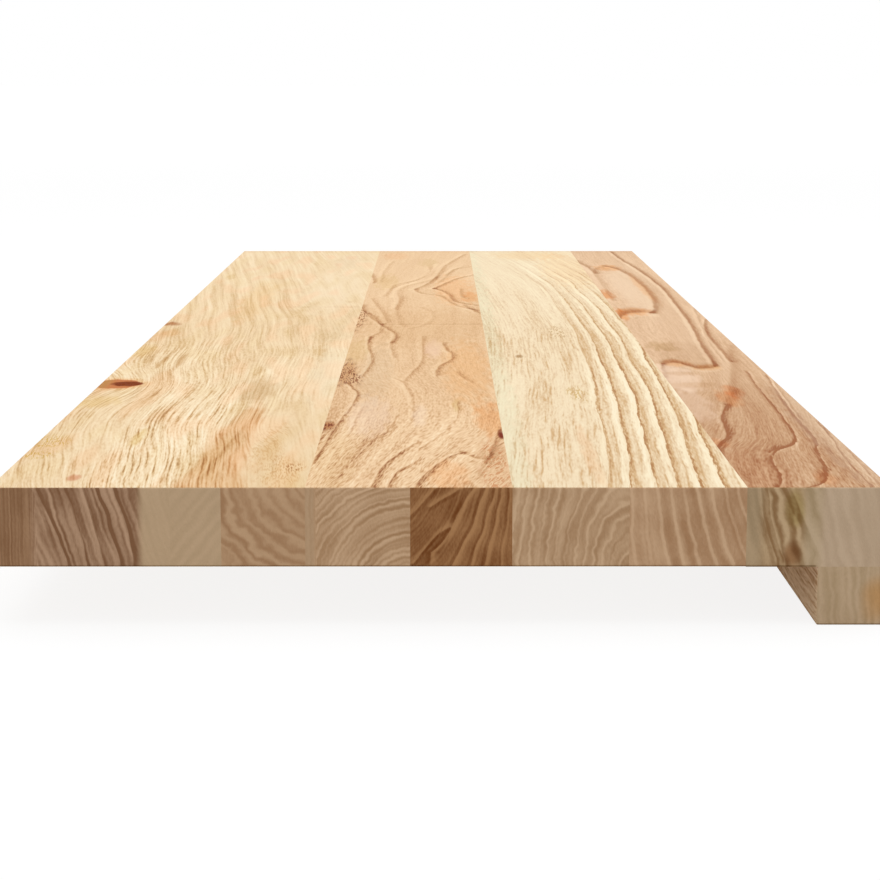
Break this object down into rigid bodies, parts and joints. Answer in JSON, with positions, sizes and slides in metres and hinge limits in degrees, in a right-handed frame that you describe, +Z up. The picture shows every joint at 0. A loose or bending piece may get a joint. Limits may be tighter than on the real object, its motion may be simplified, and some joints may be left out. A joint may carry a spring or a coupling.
{
  "type": "stair tread",
  "caption": "Unfinished oak stair tread of staves glued edge to edge, with a strip glued under its front edge that makes a deep square nosing.",
  "frame": {"origin": "middle of the tread in plan, level with the underside of the nosing strip", "axes": "+X towards the front edge (the nosing), +Y along the length of the step, +Z up out of the walking surface"},
  "size_m": [0.3, 1, 0.047],
  "materials": {
    "stave_1_back": "sanded, unfinished oak, cream with dense wavy grain and a dark knot at the back edge",
    "stave_2": "sanded, unfinished oak, plain cream",
    "stave_3": "sanded, unfinished oak, plain cream",
    "stave_4": "sanded, unfinished oak, pinkish tan with wavy contour grain",
    "stave_5": "sanded, unfinished oak, pinkish tan with cathedral grain",
    "stave_6": "sanded, unfinished oak, pale cream with fine pores",
    "stave_7": "sanded, unfinished oak, pale cream with bold straight growth rings",
    "stave_8_front": "sanded, unfinished oak, pink tan with red-brown contour grain",
    "nosing_strip": "sanded, unfinished oak, tan"
  },
  "bodies": {
    "root": {"stave_1_back": "stave_1_back", "stave_2": "stave_2", "stave_3": "stave_3", "stave_4": "stave_4", "stave_5": "stave_5", "stave_6": "stave_6", "stave_7": "stave_7", "stave_8_front": "stave_8_front", "nosing_strip": "nosing_strip"}
  },
  "joints": []
}
